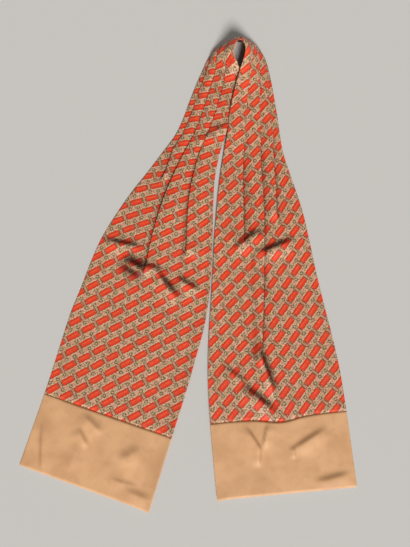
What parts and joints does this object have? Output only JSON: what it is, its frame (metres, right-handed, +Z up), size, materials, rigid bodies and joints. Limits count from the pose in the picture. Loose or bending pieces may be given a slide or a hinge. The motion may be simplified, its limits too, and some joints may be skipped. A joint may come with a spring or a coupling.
{
  "type": "cravat",
  "caption": "Pleated silk day cravat laid out flat, front up: wide printed blades with plain ends and a pleated neckband standing in a small loop at the back.",
  "frame": {"origin": "middle of the whole laid-out cravat in plan, on the surface it rests on", "axes": "+Y from the blade ends towards the neckband's loop, +X to the right as it is seen, +Z up"},
  "size_m": [0.363, 0.5488, 0.0358],
  "materials": {
    "printed_silk": "printed silk twill, soft sheen",
    "plain_silk": "plain tan silk twill, soft sheen",
    "woven_label": "plain dark woven tape, matte"
  },
  "bodies": {
    "root": {"left_end_back": "plain_silk", "left_end_front": "plain_silk", "left_blade_back": "printed_silk", "left_blade_front": "printed_silk", "left_neck_back": "printed_silk", "left_neck_front": "printed_silk", "right_end_back": "plain_silk", "right_end_front": "plain_silk", "right_blade_back": "printed_silk", "right_blade_front": "printed_silk", "right_neck_back": "printed_silk", "right_neck_front": "printed_silk", "label": "woven_label"}
  },
  "joints": []
}
